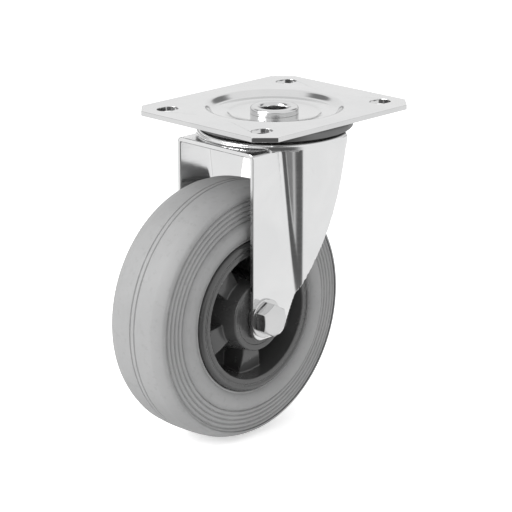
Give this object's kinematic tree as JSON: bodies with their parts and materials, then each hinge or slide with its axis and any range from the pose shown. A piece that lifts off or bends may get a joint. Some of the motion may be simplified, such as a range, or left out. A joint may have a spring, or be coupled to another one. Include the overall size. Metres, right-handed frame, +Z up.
{
  "type": "swivel castor",
  "caption": "Top-plate swivel castor: pressed steel fork, double ball race head and a grey solid rubber wheel on a black moulded centre.",
  "frame": {"origin": "centre of the plate's top face, on the swivel axis, which is also the centre of the four mounting slots", "axes": "+Z up along the swivel axis, out of the plate's mounting face; +X along the plate's long side, away from the trailing wheel; Y along the axle at rest"},
  "size_m": [0.19, 0.116, 0.2],
  "materials": {
    "zinc_plate": "bright zinc plate",
    "zinc_fork": "bright zinc plate",
    "zinc_race": "zinc plate, pressed",
    "zinc_fastener": "zinc plate, forged",
    "bearing_steel": "polished",
    "tyre_rubber": "matt moulded grey rubber",
    "seal_rubber": "matt",
    "black_plastic": "moulded polypropylene, semi-gloss",
    "nylon": "natural nylon"
  },
  "bodies": {
    "root": {"mounting_plate": "zinc_plate", "upper_race_cup": "zinc_race", "race_seal": "seal_rubber", "kingpin": "zinc_fastener", "lower_race_dish": "zinc_race"},
    "upper_ball_row": {"upper_balls": "bearing_steel"},
    "lower_ball_row": {"lower_balls": "bearing_steel"},
    "swivel_fork": {"fork": "zinc_fork", "axle_bolt": "zinc_fastener", "bolt_washer": "zinc_fastener", "axle_nut": "zinc_fastener", "nut_lock_ring": "nylon", "nut_washer": "zinc_fastener", "axle_sleeve": "bearing_steel"},
    "wheel": {"tyre": "tyre_rubber", "wheel_centre": "black_plastic", "bearing_washer_near": "black_plastic", "bearing_washer_far": "black_plastic"},
    "roller_row": {"roller_cage": "nylon", "rollers": "bearing_steel"}
  },
  "joints": [
    {"name": "swivel", "type": "hinge", "parent": "root", "child": "swivel_fork", "pos_m": [0, 0, 0], "axis": [0, 0, 1], "continuous": true},
    {"name": "wheel_spin", "type": "hinge", "parent": "swivel_fork", "child": "wheel", "pos_m": [-0.042, 0, -0.12], "axis": [0, 1, 0], "continuous": true},
    {"name": "upper_balls_orbit", "type": "hinge", "parent": "root", "child": "upper_ball_row", "pos_m": [0, 0, -0.0114], "axis": [0, 0, 1], "continuous": true},
    {"name": "lower_balls_orbit", "type": "hinge", "parent": "root", "child": "lower_ball_row", "pos_m": [0, 0, -0.0186], "axis": [0, 0, 1], "continuous": true},
    {"name": "rollers_orbit", "type": "hinge", "parent": "swivel_fork", "child": "roller_row", "pos_m": [-0.042, 0, -0.12], "axis": [0, 1, 0], "continuous": true}
  ],
  "couplings": [
    {"joint": "upper_balls_orbit", "follows": "swivel", "ratio": 0.5},
    {"joint": "lower_balls_orbit", "follows": "swivel", "ratio": 0.5},
    {"joint": "rollers_orbit", "follows": "wheel_spin", "ratio": 0.592}
  ]
}
